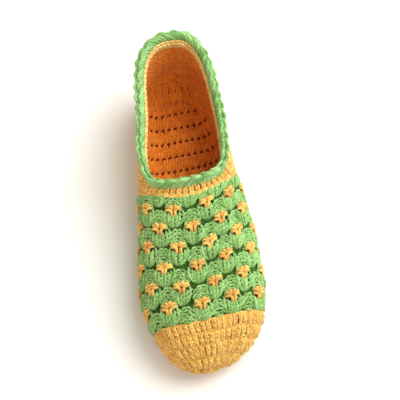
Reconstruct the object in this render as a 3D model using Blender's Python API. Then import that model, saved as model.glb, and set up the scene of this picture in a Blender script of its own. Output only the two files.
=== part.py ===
"""Crocheted slip-on slipper for the left foot.

A hollow house shoe worked in yarn: a gold toe cap, a green vamp of raised shell
clusters, a gold throat band that runs on into the side walls and heel, a gold
sole with turned-up edges, and a green scalloped edging round the collar.

Frame: +Z up, toe towards -Y, heel towards +Y, outer side of the foot at +X.
The origin lies on the floor under the middle of the shoe.
Sizes below are in millimetres and are turned into metres when a mesh is made.
"""

import math
from collections import namedtuple

import bmesh
import bpy
import numpy as np

MM = 0.001

# Driving sizes of the shoe
LENGTH = 255.0
HALF_LENGTH = LENGTH / 2
# Where the middle of the spine lies in the frame
SPINE_MIDDLE = np.array([-5.63, -2.61, 0.0])
FEATHER_HEIGHT = 10.0
TOE_TIP_HEIGHT = 15.0
HEEL_WALL_HEIGHT = 70.0
JOIN_GAP = 0.3

# Thickness of the crocheted fabric
WALL = 3.2
VAMP_WALL = 3.4
SOLE_WALL = 4.0

# The outer form, section by section. at: share of the length from the toe.
# medial, lateral: half widths. top: height of the closed arch, which the collar
# cuts behind the throat. girth: height of the widest line. floor: lowest point,
# where a value below zero is pressed flat by the floor.
Section = namedtuple("Section", "at medial lateral top girth floor")
SECTIONS = [
    Section(0.00, 35.5, 51.0, 40.0, 16.0, 2.5),
    Section(0.10, 37.3, 53.0, 42.0, 17.5, 1.4),
    Section(0.20, 39.9, 52.3, 46.5, 19.0, -0.8),
    Section(0.30, 40.1, 50.7, 51.0, 21.0, -1.6),
    Section(0.40, 38.5, 48.8, 56.0, 22.5, -1.2),
    Section(0.50, 36.7, 44.2, 61.0, 24.0, 0.9),
    Section(0.56, 37.2, 41.3, 66.0, 25.5, 1.3),
    Section(0.64, 36.0, 37.8, 75.0, 27.0, 0.4),
    Section(0.75, 32.5, 33.5, 84.0, 28.0, -1.5),
    Section(0.88, 32.0, 28.0, 95.0, 29.0, -1.6),
    Section(1.00, 34.0, 25.0, 106.0, 30.0, -1.2),
]
MEDIAL_ARCH_POWER = 2.9
LATERAL_ARCH_POWER = 2.05
BELLY_POWER = 3.0

# Least height of the arch over the girth, at the tip of the toe
LEAST_ARCH = 0.3

# How the form rounds off at its ends: reach as a share of the length, and power
End = namedtuple("End", "reach power")
TOE_PLAN = End(0.25, 2.1)
TOE_TOP = End(0.17, 2.2)
TOE_UNDER = End(0.13, 2.0)
HEEL_PLAN = End(0.17, 2.5)
HEEL_UNDER = End(0.11, 2.0)

# Rounds of crochet cross the forefoot like hoops whose ends sweep back.
# crown: place on top of the foot. foot: place at the feather line.
# sweep: power of the curve between them. All slant back towards the outer side.
Round = namedtuple("Round", "crown foot sweep")
CAP_EDGE = Round(-98.6, -91.0, 1.0)
MID_VAMP = Round(-55.0, -38.0, 1.8)
BAND_EDGE = Round(-5.5, 22.0, 2.5)
SIDE_SLANT = 0.14
ROUND_GAP = 0.2

# Where the rays that shape the toe and heel start to fan out
TOE_FAN_Y = CAP_EDGE.foot
HEEL_FAN_Y = 92.0
COLLAR_CENTRE_Y = 60.0
RAY_HEIGHT = 40.0

# Height of the collar's edge, by share of the shoe's length from the toe
CollarPoint = namedtuple("CollarPoint", "at height")
COLLAR = [
    CollarPoint(0.49, 66.0),
    CollarPoint(0.535, 58.5),
    CollarPoint(0.64, 56.0),
    CollarPoint(0.75, 56.5),
    CollarPoint(0.88, 61.0),
    CollarPoint(1.00, HEEL_WALL_HEIGHT),
]

# Rounds of the toe cap, as turns from the vamp's edge down to the toe, degrees
CAP_ROUND_TURNS = (90.0, 74.0, 58.0, 38.0, 18.0)
# Where a round is full, as shares of the turn from one groove to the next
CAP_SHOULDERS = (0.25, 0.75)
CAP_GROOVE = 0.9
CAP_DEPTH = 36.0

# Shell clusters of the vamp
SHELL_ROWS = 6
SHELL_PITCH = 24.0
SHELL_RISE = 1.5
SHELL_POWER = 0.8

# Scalloped edging on the collar
EDGING_HEIGHT = 8.5
EDGING_THICKNESS = 4.5
EDGING_LEAN = math.radians(42.0)
SCALLOP_PITCH = 10.5
SCALLOP_RISE = 1.2
# Its section above the wall's edge, as shares of the height and half thickness
EDGING_SECTION = [
    (0.30, 1.00),
    (0.75, 0.90),
    (1.00, 0.35),
    (1.00, -0.35),
    (0.75, -0.90),
    (0.30, -1.00),
]

# Mesh density
WALL_LEVELS = 5
CAP_COLUMNS = 14
VAMP_COLUMNS = 17
STEPS_PER_SHELL_ROW = 4
BAND_COLUMNS = 12
WALL_COLUMNS = 19
TOE_STATIONS = 10
SIDE_STATIONS = 15
HEEL_STATIONS = 9
SOLE_TURNS = 7
STEPS_PER_SCALLOP = 6
LINE_STEPS = 120
SHARP_ANGLE = math.radians(50)

# Numerical limits and steps, among them the size of the toe's and heel's tips
BISECTIONS = 40
SLOPE_STEP = 0.05
TIP_REACH = 0.5
TIP_STEP = 2.0
TINY = 1e-6

GOLD = (0.72, 0.36, 0.07, 1.0)
GOLD_SHADE = (0.62, 0.28, 0.05, 1.0)
GREEN = (0.20, 0.47, 0.12, 1.0)
GREEN_LIGHT = (0.27, 0.56, 0.19, 1.0)
YARN_ROUGHNESS = 0.85


def clear_scene():
    for obj in list(bpy.data.objects):
        bpy.data.objects.remove(obj)


def in_frame(point):
    """From millimetres about the spine's middle to metres in the shoe's frame."""
    return (point + SPINE_MIDDLE) * MM


def column(name):
    return np.array([getattr(section, name) for section in SECTIONS])


def through(at, knots, values):
    """A smooth curve through the table's values."""
    slopes = np.gradient(values, knots)
    i = np.clip(np.searchsorted(knots, at) - 1, 0, len(knots) - 2)
    span = knots[i + 1] - knots[i]
    t = (at - knots[i]) / span
    return (
        (2 * t**3 - 3 * t**2 + 1) * values[i]
        + (t**3 - 2 * t**2 + t) * span * slopes[i]
        + (3 * t**2 - 2 * t**3) * values[i + 1]
        + (t**3 - t**2) * span * slopes[i + 1]
    )


def rounding(share, end):
    """0 at the end of the shoe, 1 from the end's reach onwards."""
    left = np.clip(1 - share / end.reach, 0, 1)
    return np.maximum(1 - left**end.power, TINY) ** (1 / end.power)


def sizes_at(y):
    """Half widths, arch top, girth height and underside at the places y."""
    share = np.clip((y + HALF_LENGTH) / LENGTH, TINY, 1 - TINY)
    knots = column("at")
    plan = rounding(share, TOE_PLAN) * rounding(1 - share, HEEL_PLAN)
    medial = through(share, knots, column("medial")) * plan
    lateral = through(share, knots, column("lateral")) * plan
    girth_line = through(share, knots, column("girth"))
    toe_top = rounding(share, TOE_TOP)
    girth = TOE_TIP_HEIGHT + (girth_line - TOE_TIP_HEIGHT) * toe_top
    top = girth + LEAST_ARCH + (through(share, knots, column("top")) - girth_line) * toe_top
    under = rounding(share, TOE_UNDER) * rounding(1 - share, HEEL_UNDER)
    floor = girth - (girth - through(share, knots, column("floor"))) * under
    return medial, lateral, top, girth, floor


def form_field(points):
    """Negative inside the outer form, zero on its surface, positive outside."""
    x, y, z = points[..., 0], points[..., 1], points[..., 2]
    medial, lateral, top, girth, floor = sizes_at(y)
    half_width = np.where(x > 0, lateral, medial)
    above = z > girth
    half_height = np.where(above, top - girth, girth - floor)
    arch_power = np.where(x > 0, LATERAL_ARCH_POWER, MEDIAL_ARCH_POWER)
    power = np.where(above, arch_power, BELLY_POWER)
    across = np.abs(x) / np.maximum(half_width, TINY)
    upright = np.abs(z - girth) / np.maximum(half_height, TINY)
    return across**power + upright**power - 1


def inside_form(points):
    return (form_field(points) < 0) & (np.abs(points[..., 1]) < HALF_LENGTH)


def reach_surface(origins, directions, place=None):
    """The points where rays from inside the form leave it.

    place moves each point of a ray to the point that is tested in its stead.
    """
    near = np.zeros(origins.shape[:-1])
    far = np.full(origins.shape[:-1], LENGTH / 2)
    place = place or (lambda points: points)
    for _ in range(BISECTIONS):
        middle = (near + far) / 2
        inside = inside_form(place(origins + directions * middle[..., None]))
        near = np.where(inside, middle, near)
        far = np.where(inside, far, middle)
    return place(origins + directions * near[..., None])


def slopes_of_form(points):
    """Unit vectors along which the form's field rises fastest."""
    slopes = []
    for axis in range(3):
        shift = np.zeros(3)
        shift[axis] = SLOPE_STEP
        slopes.append(form_field(points + shift) - form_field(points - shift))
    normals = np.stack(slopes, axis=-1)
    return normals / np.linalg.norm(normals, axis=-1, keepdims=True)


def outward(points):
    """Unit normals of the form at points on its surface."""
    normals = slopes_of_form(points)
    # At toe and heel tip the sections shrink to nothing, so both sides are averaged
    tips = np.abs(points[..., 1]) > HALF_LENGTH - TIP_REACH
    tips = tips & (np.abs(points[..., 0]) < TIP_REACH)
    if tips.any():
        beside = np.array([TIP_STEP, 0.0, 0.0])
        mean = sum(
            slopes_of_form(onto_form(points[tips] + way * beside)) for way in (-1, 1)
        )
        normals[tips] = mean / np.linalg.norm(mean, axis=-1, keepdims=True)
    return normals


def onto_form(points):
    """Moves points that are near the form onto it, level where the wall is upright."""
    origins = points.copy()
    origins[..., 0] = 0.0
    origins[..., 1] = np.clip(points[..., 1], TOE_FAN_Y, HEEL_FAN_Y)
    origins[..., 2] = np.minimum(points[..., 2], RAY_HEIGHT)
    directions = points - origins
    directions /= np.linalg.norm(directions, axis=-1, keepdims=True)
    return reach_surface(origins, directions)


def round_rays(foot_ys, angles):
    """Starts and directions of a round's rays, by angle over the arch from +X."""
    foot_ys, angles = np.broadcast_arrays(foot_ys, angles)
    rounds = (CAP_EDGE, MID_VAMP, BAND_EDGE)
    feet = [r.foot for r in rounds]
    crowns = np.interp(foot_ys, feet, [r.crown for r in rounds])
    sweeps = np.interp(foot_ys, feet, [r.sweep for r in rounds])
    across, upright = np.cos(angles), np.sin(angles)
    start_ys = foot_ys + (crowns - foot_ys) * np.maximum(upright, 0) ** sweeps
    level = np.full(foot_ys.shape, FEATHER_HEIGHT)
    origins = np.stack([np.zeros(foot_ys.shape), start_ys, level], axis=-1)
    return origins, np.stack([across, across * SIDE_SLANT, upright], axis=-1)


def round_points(foot_ys, angles):
    """Points of the form on rounds of crochet."""
    return reach_surface(*round_rays(foot_ys, angles))


def distances_along(points):
    steps = np.linalg.norm(np.diff(points, axis=0), axis=-1)
    return np.concatenate([[0.0], np.cumsum(steps)])


def points_along(points, distances):
    """Points at the given distances along a line of points."""
    known = distances_along(points)
    return np.stack(
        [np.interp(distances, known, points[:, axis]) for axis in range(3)], axis=-1
    )


def collar_half(side):
    """The collar's edge from the middle of the throat to the back of the heel."""
    turns = np.linspace(0, math.pi, 2 * LINE_STEPS + 1)
    directions = np.stack(
        [side * np.sin(turns), -np.cos(turns), np.zeros(len(turns))], axis=-1
    )
    origins = np.broadcast_to([0.0, COLLAR_CENTRE_Y, 0.0], directions.shape)
    knots = np.array([p.at for p in COLLAR])
    heights = np.array([p.height for p in COLLAR])

    def lift(points):
        slanted_y = points[..., 1] - SIDE_SLANT * points[..., 0]
        at = np.clip((slanted_y + HALF_LENGTH) / LENGTH, knots[0], knots[-1])
        lifted = points.copy()
        lifted[..., 2] = through(at, knots, heights)
        return lifted

    return reach_surface(origins, directions, lift)


def feather_half(side, first_y):
    """The feather line from a place on one side to the back of the heel."""
    straight = np.linspace(first_y, HEEL_FAN_Y, LINE_STEPS)
    turned = np.linspace(0, math.pi / 2, LINE_STEPS)[1:]
    turns = np.concatenate([np.zeros(len(straight)), turned])
    ys = np.concatenate([straight, np.full(len(turned), HEEL_FAN_Y)])
    origins = np.stack(
        [np.zeros(len(ys)), ys, np.full(len(ys), FEATHER_HEIGHT)], axis=-1
    )
    directions = np.stack(
        [side * np.cos(turns), np.sin(turns), np.zeros(len(ys))], axis=-1
    )
    return reach_surface(origins, directions)


class Sheet:
    """A sheet of quads on the form, with an outer and an inner skin."""

    def __init__(self):
        self.outer = []
        self.inner = []
        self.quads = []
        self.places = {}

    def point(self, key, outer, inner):
        if key not in self.places:
            self.places[key] = len(self.outer)
            self.outer.append(outer)
            self.inner.append(inner)
        return self.places[key]

    def quad(self, *keys):
        corners = [self.places[key] for key in keys]
        distinct = list(dict.fromkeys(corners))
        if len(distinct) > 2:
            self.quads.append(distinct)

    def add_grid(self, outer, inner, key_of):
        """Adds a grid of points. Places with the same key share one point."""
        rows, columns = outer.shape[:2]
        for r in range(rows):
            for c in range(columns):
                self.point(key_of(r, c), outer[r, c], inner[r, c])
        for r in range(rows - 1):
            for c in range(columns - 1):
                corners = [(r, c), (r, c + 1), (r + 1, c + 1), (r + 1, c)]
                self.quad(*[key_of(*corner) for corner in corners])


def solid_from_sheet(name, sheet, material):
    """Closes the two skins along the sheet's free edges and makes the object."""
    count = len(sheet.outer)
    mesh = bmesh.new()
    skins = [mesh.verts.new(in_frame(p)) for p in [*sheet.outer, *sheet.inner]]
    edge_uses = {}
    for quad in sheet.quads:
        mesh.faces.new([skins[i] for i in quad])
        mesh.faces.new([skins[count + i] for i in reversed(quad)])
        for a, b in zip(quad, quad[1:] + quad[:1]):
            edge_uses.setdefault(frozenset((a, b)), []).append((a, b))
    for uses in edge_uses.values():
        if len(uses) == 1:
            a, b = uses[0]
            mesh.faces.new([skins[b], skins[a], skins[count + a], skins[count + b]])
    return finish_solid(name, mesh, material)


def finish_solid(name, mesh, material):
    bmesh.ops.recalc_face_normals(mesh, faces=mesh.faces)
    if mesh.calc_volume(signed=True) < 0:
        bmesh.ops.reverse_faces(mesh, faces=mesh.faces)
    data = bpy.data.meshes.new(name)
    mesh.to_mesh(data)
    mesh.free()
    data.shade_smooth()
    data.set_sharp_from_angle(angle=SHARP_ANGLE)
    data.materials.append(material)
    obj = bpy.data.objects.new(name, data)
    bpy.context.scene.collection.objects.link(obj)
    return obj


def yarn(name, colour):
    material = bpy.data.materials.new(name)
    material.use_nodes = True
    shader = material.node_tree.nodes["Principled BSDF"]
    shader.inputs["Base Color"].default_value = colour
    shader.inputs["Roughness"].default_value = YARN_ROUGHNESS
    shader.inputs["Metallic"].default_value = 0.0
    return material


def make_toe_cap(material):
    """A dome open behind and underneath, with a shallow groove at each round."""
    turns = []
    for upper, lower in zip(CAP_ROUND_TURNS, CAP_ROUND_TURNS[1:] + (0.0,)):
        turns.append(upper)
        turns += [upper - share * (upper - lower) for share in CAP_SHOULDERS]
    turns = np.radians(turns[:-1])[:, None, None]
    angles = np.linspace(0, math.pi, 2 * CAP_COLUMNS + 1)
    edge = round_points(CAP_EDGE.foot - ROUND_GAP, angles)
    centre = np.array([0.0, CAP_EDGE.foot - ROUND_GAP, FEATHER_HEIGHT])
    ahead = np.array([0.0, -1.0, 0.0])
    directions = np.sin(turns) * (edge - centre) + np.cos(turns) * CAP_DEPTH * ahead
    directions /= np.linalg.norm(directions, axis=-1, keepdims=True)
    outer = reach_surface(np.broadcast_to(centre, directions.shape), directions)
    tip = reach_surface(centre[None], ahead[None])
    outer = np.concatenate([outer, np.broadcast_to(tip, (1, *outer.shape[1:]))])
    normals = outward(outer)
    grooves = np.zeros(len(outer))
    rows_per_round = 1 + len(CAP_SHOULDERS)
    grooves[rows_per_round:-1:rows_per_round] = CAP_GROOVE
    pressed = outer - normals * grooves[:, None, None]
    inner = outer - normals * WALL
    last = len(outer) - 1
    sheet = Sheet()
    sheet.add_grid(pressed, inner, lambda r, c: "tip" if r == last else (r, c))
    return solid_from_sheet("toe_cap", sheet, material)


def shell_relief(row, along):
    """Height of the shell clusters: rows of domes, each row half a pitch over."""
    offset = 0.5 * (math.floor(row) % 2)
    place = along / SHELL_PITCH + offset
    across = math.cos(math.pi * (place - round(place)))
    lengthwise = math.sin(math.pi * (row - math.floor(row)))
    return SHELL_RISE * (max(across, 0.0) * lengthwise) ** SHELL_POWER


def make_vamp(material):
    """The arch over the forefoot, its wall raised in rows of shell clusters."""
    rows = SHELL_ROWS * STEPS_PER_SHELL_ROW
    angles = np.linspace(0, math.pi, 2 * VAMP_COLUMNS + 1)
    foot_ys = np.linspace(
        CAP_EDGE.foot + ROUND_GAP, BAND_EDGE.foot - ROUND_GAP, rows + 1
    )
    outer = round_points(foot_ys[:, None], angles[None, :])
    normals = outward(outer)
    reliefs = np.zeros(outer.shape[:2])
    for r in range(rows + 1):
        along = distances_along(outer[r])
        for c in range(1, len(angles) - 1):
            from_crown = along[c] - along[VAMP_COLUMNS]
            reliefs[r, c] = shell_relief(r / STEPS_PER_SHELL_ROW, from_crown)
    raised = outer + normals * reliefs[..., None]
    inner = outer - normals * VAMP_WALL
    sheet = Sheet()
    sheet.add_grid(raised, inner, lambda r, c: (r, c))
    return solid_from_sheet("vamp", sheet, material)


def wall_half(side):
    """One half of the throat band, side wall and heel, from lower to upper edge."""
    angles = np.linspace(math.pi / 2, 0 if side > 0 else math.pi, LINE_STEPS + 1)
    front = round_points(BAND_EDGE.foot + ROUND_GAP, angles)
    feather = feather_half(side, front[-1, 1])
    front_length = distances_along(front)[-1]
    feather_length = distances_along(feather)[-1]
    lower = np.concatenate(
        [
            points_along(front, np.linspace(0, front_length, BAND_COLUMNS + 1)),
            points_along(feather, np.linspace(0, feather_length, WALL_COLUMNS + 1))[1:],
        ]
    )
    share = distances_along(lower) / (front_length + feather_length)
    collar = collar_half(side)
    upper = points_along(collar, np.minimum(share, 1) * distances_along(collar)[-1])
    levels = np.linspace(0, 1, WALL_LEVELS + 1)[None, :, None]
    return onto_form(lower[:, None] * (1 - levels) + upper[:, None] * levels)


def make_heel_and_sides(material):
    """Throat band, side walls and heel: one closed ring round the collar."""
    sheet = Sheet()
    last = BAND_COLUMNS + WALL_COLUMNS
    for side in (1, -1):
        outer = wall_half(side)
        inner = outer - outward(outer) * WALL

        def key_of(r, c, side=side):
            return ("middle", r, c) if r in (0, last) else (side, r, c)

        sheet.add_grid(outer, inner, key_of)
    return solid_from_sheet("heel_and_sides", sheet, material)


def sole_stations(side):
    """Starts and headings of the rays that shape one side of the sole."""
    found = []
    for turn in np.linspace(0, math.pi / 2, TOE_STATIONS + 1):
        found.append((TOE_FAN_Y, side * math.sin(turn), -math.cos(turn)))
    for y in np.linspace(TOE_FAN_Y, HEEL_FAN_Y, SIDE_STATIONS + 1)[1:-1]:
        found.append((y, side, 0.0))
    for turn in np.linspace(0, math.pi / 2, HEEL_STATIONS + 1):
        found.append((HEEL_FAN_Y, side * math.cos(turn), math.sin(turn)))
    found = np.array(found)
    origins = np.stack(
        [np.zeros(len(found)), found[:, 0], np.full(len(found), FEATHER_HEIGHT)], axis=-1
    )
    headings = np.stack([found[:, 1], found[:, 2], np.zeros(len(found))], axis=-1)
    return origins[:, None], headings[:, None]


def make_sole(material):
    """The underfoot panel, its edges turned up to the feather line."""
    turns = np.linspace(0, math.pi / 2, SOLE_TURNS + 1)
    sheet = Sheet()
    for side in (1, -1):
        origins, headings = sole_stations(side)
        rim = reach_surface(origins, headings)
        # The first ray dips so that the edge lies one gap below the feather line
        dip = np.arctan2(JOIN_GAP, np.linalg.norm(rim - origins, axis=-1))
        turned = np.maximum(turns, dip)[..., None]
        down = np.array([0.0, 0.0, -1.0])
        directions = np.cos(turned) * headings + np.sin(turned) * down
        origins = np.broadcast_to(origins, directions.shape)
        outer = reach_surface(origins, directions)
        inner = outer - outward(outer) * SOLE_WALL
        outer[..., 2] = np.maximum(outer[..., 2], 0.0)
        last = len(outer) - 1

        def key_of(r, c, side=side, origins=origins, last=last):
            if c == SOLE_TURNS:
                return ("middle", float(origins[r, c, 1]))
            return ("end", r, c) if r in (0, last) else (side, r, c)

        sheet.add_grid(outer, inner, key_of)
    return solid_from_sheet("sole", sheet, material)


def collar_loop():
    """The walls' upper edge as a closed loop: throat, outer side, heel, inner side."""
    outer_side, inner_side = wall_half(1)[:, -1], wall_half(-1)[:, -1]
    return np.concatenate([outer_side, inner_side[-2::-1]])


def make_collar_edging(material):
    """A ring of scallops on the wall's edge, leaning outwards."""
    loop = collar_loop()
    perimeter = distances_along(loop)[-1]
    scallops = round(perimeter / SCALLOP_PITCH)
    count = scallops * STEPS_PER_SCALLOP
    edge = points_along(loop, np.linspace(0, perimeter, count, endpoint=False))
    normals = outward(edge)
    ahead = np.roll(edge, -1, axis=0) - np.roll(edge, 1, axis=0)
    ahead /= np.linalg.norm(ahead, axis=-1, keepdims=True)
    upward = np.cross(normals, ahead)
    seat = edge - normals * WALL / 2 + upward * JOIN_GAP
    rise_way = math.cos(EDGING_LEAN) * upward + math.sin(EDGING_LEAN) * normals
    thick_way = math.cos(EDGING_LEAN) * normals - math.sin(EDGING_LEAN) * upward
    phase = np.arange(count) % STEPS_PER_SCALLOP / STEPS_PER_SCALLOP
    height = EDGING_HEIGHT + SCALLOP_RISE * (2 * np.sin(math.pi * phase) - 1)
    rings = [seat + normals * WALL / 2]
    for up, out in EDGING_SECTION:
        thickness = thick_way * out * EDGING_THICKNESS / 2
        rings.append(seat + rise_way * (height * up)[:, None] + thickness)
    rings.append(seat - normals * WALL / 2)
    mesh = bmesh.new()
    verts = [[mesh.verts.new(in_frame(p)) for p in ring] for ring in rings]
    for ring, next_ring in zip(verts, verts[1:] + verts[:1]):
        for i in range(count):
            j = (i + 1) % count
            mesh.faces.new([ring[i], ring[j], next_ring[j], next_ring[i]])
    return finish_solid("collar_edging", mesh, material)


def main():
    clear_scene()
    gold = yarn("gold_yarn", GOLD)
    green = yarn("green_yarn", GREEN)
    make_sole(yarn("sole_yarn", GOLD_SHADE))
    make_toe_cap(gold)
    make_vamp(green)
    make_heel_and_sides(gold)
    make_collar_edging(yarn("edging_yarn", GREEN_LIGHT))


main()
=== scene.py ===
"""Crocheted slip-on slipper for the left foot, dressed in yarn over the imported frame.

Every stitch is a strand of yarn laid on the shoe's own form, which is worked out
here from the same driving sizes as the solids. Sizes are in millimetres about
the middle of the spine and are turned into metres when a mesh is made.
"""

import math
from collections import namedtuple

import bmesh
import bpy
import numpy as np
from mathutils import Matrix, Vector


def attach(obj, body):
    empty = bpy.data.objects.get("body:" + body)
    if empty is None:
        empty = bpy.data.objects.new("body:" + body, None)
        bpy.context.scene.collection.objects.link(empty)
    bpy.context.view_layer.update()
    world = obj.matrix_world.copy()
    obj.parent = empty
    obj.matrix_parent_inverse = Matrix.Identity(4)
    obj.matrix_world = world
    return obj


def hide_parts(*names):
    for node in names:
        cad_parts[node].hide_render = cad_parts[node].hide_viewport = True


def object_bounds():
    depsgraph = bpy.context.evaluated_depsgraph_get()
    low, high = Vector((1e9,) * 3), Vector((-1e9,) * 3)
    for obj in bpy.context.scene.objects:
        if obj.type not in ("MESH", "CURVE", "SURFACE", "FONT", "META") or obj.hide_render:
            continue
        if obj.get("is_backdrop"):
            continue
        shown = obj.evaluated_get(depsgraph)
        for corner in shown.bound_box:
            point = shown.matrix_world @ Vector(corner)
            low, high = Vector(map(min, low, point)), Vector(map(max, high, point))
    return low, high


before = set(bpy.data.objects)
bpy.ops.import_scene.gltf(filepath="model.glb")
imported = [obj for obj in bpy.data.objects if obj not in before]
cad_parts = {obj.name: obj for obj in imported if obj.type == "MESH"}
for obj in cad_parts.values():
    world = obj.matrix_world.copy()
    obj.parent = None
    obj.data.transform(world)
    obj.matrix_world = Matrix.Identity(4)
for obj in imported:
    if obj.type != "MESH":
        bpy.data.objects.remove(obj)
CAD_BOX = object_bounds()

MM = 0.001
SPINE_MIDDLE = np.array([-5.63, -2.61, 0.0])

# Camera: the photograph's direction, aimed at the middle of the shoe as seen
CAMERA_ELEVATION = math.radians(63.0)
CAMERA_AZIMUTH = math.radians(-4.4)
CAMERA_DISTANCE = 1200.0
CAMERA_LENS = 142.0
CAMERA_SENSOR = 36.0
CAMERA_CLIP = 0.05
CAMERA_CENTRE = np.array([0.0, 0.0, 30.0])
AIM_RIGHT = 8.9
AIM_UP = 6.1

# Driving sizes of the form, as in the solids
LENGTH = 255.0
HALF_LENGTH = LENGTH / 2
FEATHER_HEIGHT = 10.0
TOE_TIP_HEIGHT = 15.0
WALL = 3.2
VAMP_WALL = 3.4
SOLE_WALL = 4.0
# How deep behind the surface the body of the cloth lies, under its yarn
BACKING_DEPTH = 1.3
# Height over the floor that the sole's outer yarn reaches where it is pressed flat
UNDER_YARN_TOP = 2.9
# Sections: share of the length, half width of the inner and the outer side, arch top,
# height of the girth, underside
SECTIONS = np.array([
    (0.00, 35.5, 51.0, 40.0, 16.0, 2.5),
    (0.10, 37.3, 53.0, 42.0, 17.5, 1.4),
    (0.20, 39.9, 52.3, 46.5, 19.0, -0.8),
    (0.30, 40.1, 50.7, 51.0, 21.0, -1.6),
    (0.40, 38.5, 48.8, 56.0, 22.5, -1.2),
    (0.50, 36.7, 44.2, 61.0, 24.0, 0.9),
    (0.56, 37.2, 41.3, 66.0, 25.5, 1.3),
    (0.64, 36.0, 37.8, 75.0, 27.0, 0.4),
    (0.75, 32.5, 33.5, 84.0, 28.0, -1.5),
    (0.88, 32.0, 28.0, 95.0, 29.0, -1.6),
    (1.00, 34.0, 25.0, 106.0, 30.0, -1.2),
])
MEDIAL_ARCH_POWER = 2.9
LATERAL_ARCH_POWER = 2.05
BELLY_POWER = 3.0
LEAST_ARCH = 0.3
End = namedtuple("End", "reach power")
TOE_PLAN = End(0.25, 2.1)
TOE_TOP = End(0.17, 2.2)
TOE_UNDER = End(0.13, 2.0)
HEEL_PLAN = End(0.17, 2.5)
HEEL_UNDER = End(0.11, 2.0)
Round = namedtuple("Round", "crown foot sweep")
CAP_EDGE = Round(-98.6, -91.0, 1.0)
MID_VAMP = Round(-55.0, -38.0, 1.8)
BAND_EDGE = Round(-5.5, 22.0, 2.5)
SIDE_SLANT = 0.14
ROUND_GAP = 0.2
TOE_FAN_Y = CAP_EDGE.foot
HEEL_FAN_Y = 92.0
COLLAR_CENTRE_Y = 60.0
RAY_HEIGHT = 40.0
# Collar: share of the length, height
COLLAR = np.array([
    (0.49, 66.0),
    (0.535, 58.5),
    (0.64, 56.0),
    (0.75, 56.5),
    (0.88, 61.0),
    (1.00, 70.0),
])
CAP_ROUND_TURNS = (90.0, 74.0, 58.0, 38.0, 18.0, 0.0)
CAP_DEPTH = 36.0
EDGING_LEAN = math.radians(42.0)
# Size of the toe's and heel's tips, and how far off their neighbours are read
TIP_REACH = 1.2
TIP_STEP = 2.0
# Numerical limits: steps, the ends of the table, and least sizes in divisions
SLOPE_STEP = 0.3
BISECTIONS = 24
END_SHARE = 1e-6
LEAST_HALF = 1e-3
TINY = 1e-9
# Columns of a wall's grid: along the throat band, and along the side wall and heel
BAND_COLUMNS = 40
WALL_COLUMNS = 90


def unit(vectors):
    lengths = np.linalg.norm(vectors, axis=-1, keepdims=True)
    return vectors / np.maximum(lengths, TINY)


def hump(t, power=1.0):
    """0 at both ends and 1 in the middle; a lower power makes it fuller."""
    return np.sin(np.pi * t) ** power


def resampled(wanted, known, values):
    """Points or directions of a line, read at the wanted places."""
    return np.stack([np.interp(wanted, known, part) for part in values.T], axis=-1)


def through(at, knots, values):
    """A smooth curve through the table's values."""
    slopes = np.gradient(values, knots)
    i = np.clip(np.searchsorted(knots, at) - 1, 0, len(knots) - 2)
    span = knots[i + 1] - knots[i]
    t = (at - knots[i]) / span
    return (
        (2 * t**3 - 3 * t**2 + 1) * values[i]
        + (t**3 - 2 * t**2 + t) * span * slopes[i]
        + (3 * t**2 - 2 * t**3) * values[i + 1]
        + (t**3 - t**2) * span * slopes[i + 1]
    )


def rounding(share, end):
    """0 at the end of the shoe, 1 from the end's reach onwards."""
    left = np.clip(1 - share / end.reach, 0, 1)
    return np.maximum(1 - left**end.power, TINY) ** (1 / end.power)


def sizes_at(y):
    """Half widths, arch top, girth height and underside at the places y."""
    share = np.clip((y + HALF_LENGTH) / LENGTH, END_SHARE, 1 - END_SHARE)
    knots, *columns = SECTIONS.T
    lines = [through(share, knots, column) for column in columns]
    medial, lateral, top_line, girth_line, floor_line = lines
    plan = rounding(share, TOE_PLAN) * rounding(1 - share, HEEL_PLAN)
    toe_top = rounding(share, TOE_TOP)
    girth = TOE_TIP_HEIGHT + (girth_line - TOE_TIP_HEIGHT) * toe_top
    top = girth + LEAST_ARCH + (top_line - girth_line) * toe_top
    under = rounding(share, TOE_UNDER) * rounding(1 - share, HEEL_UNDER)
    floor = girth - (girth - floor_line) * under
    return medial * plan, lateral * plan, top, girth, floor


def form_field(points):
    """Negative inside the outer form, zero on its surface, positive outside."""
    x, y, z = points[..., 0], points[..., 1], points[..., 2]
    medial, lateral, top, girth, floor = sizes_at(y)
    half_width = np.where(x > 0, lateral, medial)
    above = z > girth
    half_height = np.where(above, top - girth, girth - floor)
    arch_power = np.where(x > 0, LATERAL_ARCH_POWER, MEDIAL_ARCH_POWER)
    power = np.where(above, arch_power, BELLY_POWER)
    across = np.abs(x) / np.maximum(half_width, LEAST_HALF)
    upright = np.abs(z - girth) / np.maximum(half_height, LEAST_HALF)
    return across**power + upright**power - 1


def reach_surface(origins, directions, place=None):
    """The points where rays from inside the form leave it."""
    near = np.zeros(origins.shape[:-1])
    far = np.full(origins.shape[:-1], HALF_LENGTH)
    place = place or (lambda points: points)
    for _ in range(BISECTIONS):
        middle = (near + far) / 2
        points = place(origins + directions * middle[..., None])
        inside = (form_field(points) < 0) & (np.abs(points[..., 1]) < HALF_LENGTH)
        near = np.where(inside, middle, near)
        far = np.where(inside, far, middle)
    return place(origins + directions * near[..., None])


def slopes_of_form(points):
    """Unit vectors along which the form's field rises fastest."""
    slopes = [
        form_field(points + shift) - form_field(points - shift)
        for shift in np.eye(3) * SLOPE_STEP
    ]
    return unit(np.stack(slopes, axis=-1))


def outward(points):
    """Unit normals of the form at points on its surface."""
    normals = slopes_of_form(points)
    # At toe and heel tip the sections shrink to nothing, so both sides are averaged
    tips = np.abs(points[..., 1]) > HALF_LENGTH - TIP_REACH
    tips = tips & (np.abs(points[..., 0]) < TIP_REACH)
    if tips.any():
        beside = np.array([TIP_STEP, 0.0, 0.0])
        mean = sum(
            slopes_of_form(onto_form(points[tips] + way * beside)) for way in (-1, 1)
        )
        normals[tips] = unit(mean)
    return normals


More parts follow.
